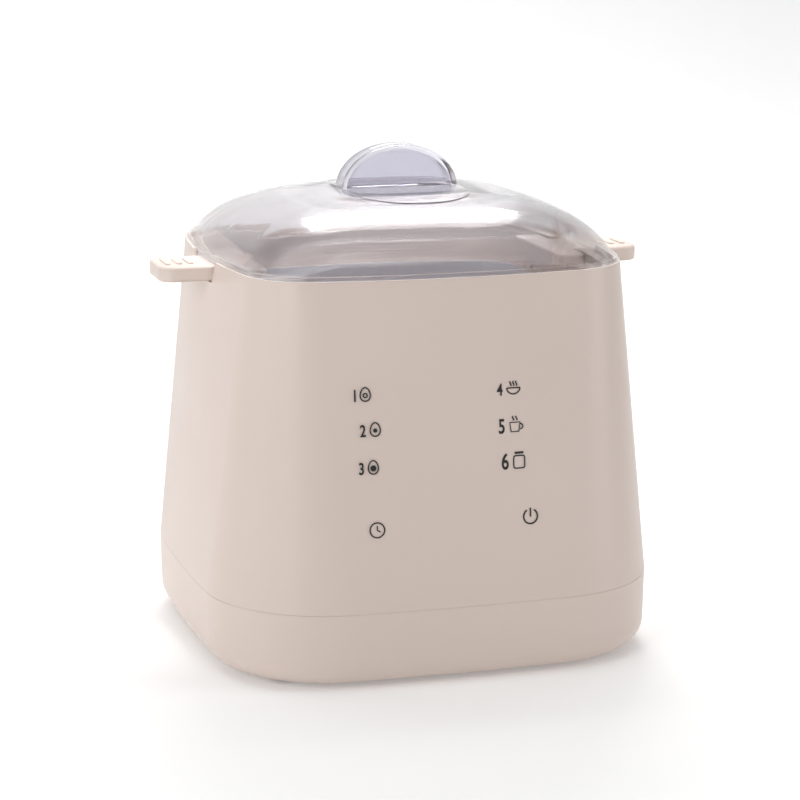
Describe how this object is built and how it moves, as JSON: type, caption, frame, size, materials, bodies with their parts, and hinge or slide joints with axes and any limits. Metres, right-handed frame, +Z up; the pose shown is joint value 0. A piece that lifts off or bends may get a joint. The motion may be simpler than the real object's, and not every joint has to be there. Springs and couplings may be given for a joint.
{
  "type": "electric egg cooker",
  "caption": "Countertop egg cooker: tapered rounded-square housing with a steel pan, lift-out egg rack with side handles and a clear domed lid with a fin grip.",
  "frame": {"origin": "on the table, under the middle of the housing", "axes": "+Z up, -Y towards the user (the side with the touch keys), +X to the user's right"},
  "size_m": [0.1972, 0.18, 0.1964],
  "materials": {
    "cream_plastic": "satin moulded plastic",
    "clear_plastic": "clear, polished",
    "pan_steel": "drawn, satin",
    "rack_steel": "pressed, satin",
    "silicone": "matt",
    "cast_aluminium": "as cast",
    "tube_steel": "heat darkened",
    "zinc_sheet": "galvanised",
    "screw_steel": "zinc plated",
    "white_ceramic": "matt",
    "nickel": "nickel plated",
    "probe_brass": "plain",
    "grey_rubber": "matt",
    "board_laminate": "solder-masked laminate",
    "dark_case": "moulded case",
    "core_metal": "varnished",
    "can_aluminium": "sleeved can",
    "film_case": "moulded case",
    "terminal_brass": "tin plated",
    "inlet_plastic": "moulded",
    "pad_rubber": "conductive foam",
    "display_glass": "dark lens"
  },
  "bodies": {
    "cooker": {"base_tub": "cream_plastic", "outer_shell": "cream_plastic", "inner_collar": "cream_plastic", "pan_gasket": "silicone", "steel_pan": "pan_steel", "heating_plate": "cast_aluminium", "heater_tube": "tube_steel", "heat_shield": "zinc_sheet", "shield_spacers": "screw_steel", "shield_nuts": "screw_steel", "thermostat": "white_ceramic", "thermal_fuse": "nickel", "fuse_clip": "zinc_sheet", "temperature_sensor": "probe_brass", "rubber_feet": "grey_rubber", "base_screws": "screw_steel", "power_board": "board_laminate", "board_screws": "screw_steel", "relay": "dark_case", "transformer": "core_metal", "electrolytic_capacitor": "can_aluminium", "film_capacitor": "film_case", "board_terminals": "terminal_brass", "power_inlet": "inlet_plastic", "inlet_pins": "terminal_brass", "control_board": "board_laminate", "control_screws": "screw_steel", "touch_pads": "pad_rubber", "display_module": "display_glass"},
    "egg_rack": {"right_handle": "cream_plastic", "left_handle": "cream_plastic", "egg_plate": "rack_steel", "rack_brackets": "rack_steel", "bracket_rivets": "screw_steel", "rack_screws": "screw_steel"},
    "lid": {"lid": "clear_plastic"}
  },
  "joints": [
    {"name": "rack_lift", "type": "slide", "parent": "cooker", "child": "egg_rack", "axis": [0, 0, 1], "range_m": [0, 0.09]},
    {"name": "lid_lift", "type": "slide", "parent": "egg_rack", "child": "lid", "axis": [0, 0, 1], "range_m": [0, 0.08]}
  ]
}
